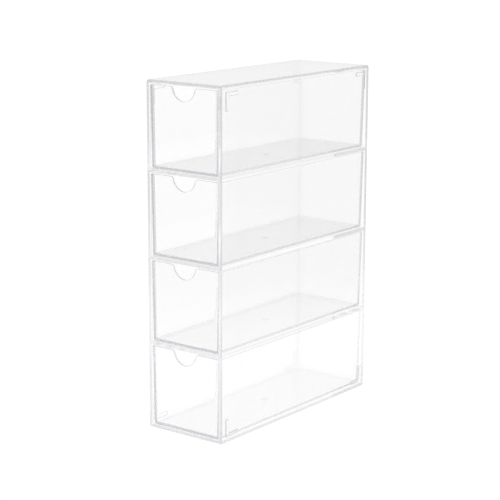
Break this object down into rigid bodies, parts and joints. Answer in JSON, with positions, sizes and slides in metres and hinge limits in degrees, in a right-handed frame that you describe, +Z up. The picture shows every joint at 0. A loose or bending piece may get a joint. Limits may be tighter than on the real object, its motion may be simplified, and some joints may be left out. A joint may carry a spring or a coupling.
{
  "type": "eyewear storage box",
  "caption": "Tall clear plastic case for glasses, with a column of trays that slide out at the front, each with a half-round finger notch.",
  "frame": {"origin": "on the surface that the case stands on, under the middle of the case", "axes": "+Z up, +X to the right seen from the front, -Y the front, where the trays come out"},
  "size_m": [0.067, 0.177, 0.249],
  "materials": {
    "case_plastic": "clear, polished",
    "tray_plastic": "clear, polished, as moulded"
  },
  "bodies": {
    "case": {"left_side_panel": "case_plastic", "right_side_panel": "case_plastic", "back_panel": "case_plastic", "bottom_panel": "case_plastic", "lower_shelf": "case_plastic", "middle_shelf": "case_plastic", "upper_shelf": "case_plastic", "top_panel": "case_plastic"},
    "bottom_tray": {"bottom_drawer": "tray_plastic"},
    "third_tray": {"third_drawer": "tray_plastic"},
    "second_tray": {"second_drawer": "tray_plastic"},
    "top_tray": {"top_drawer": "tray_plastic"}
  },
  "joints": [
    {"name": "bottom_drawer_slide", "type": "slide", "parent": "case", "child": "bottom_tray", "axis": [0, -1, 0], "range_m": [0, 0.165]},
    {"name": "third_drawer_slide", "type": "slide", "parent": "case", "child": "third_tray", "axis": [0, -1, 0], "range_m": [0, 0.165]},
    {"name": "second_drawer_slide", "type": "slide", "parent": "case", "child": "second_tray", "axis": [0, -1, 0], "range_m": [0, 0.165]},
    {"name": "top_drawer_slide", "type": "slide", "parent": "case", "child": "top_tray", "axis": [0, -1, 0], "range_m": [0, 0.165]}
  ]
}
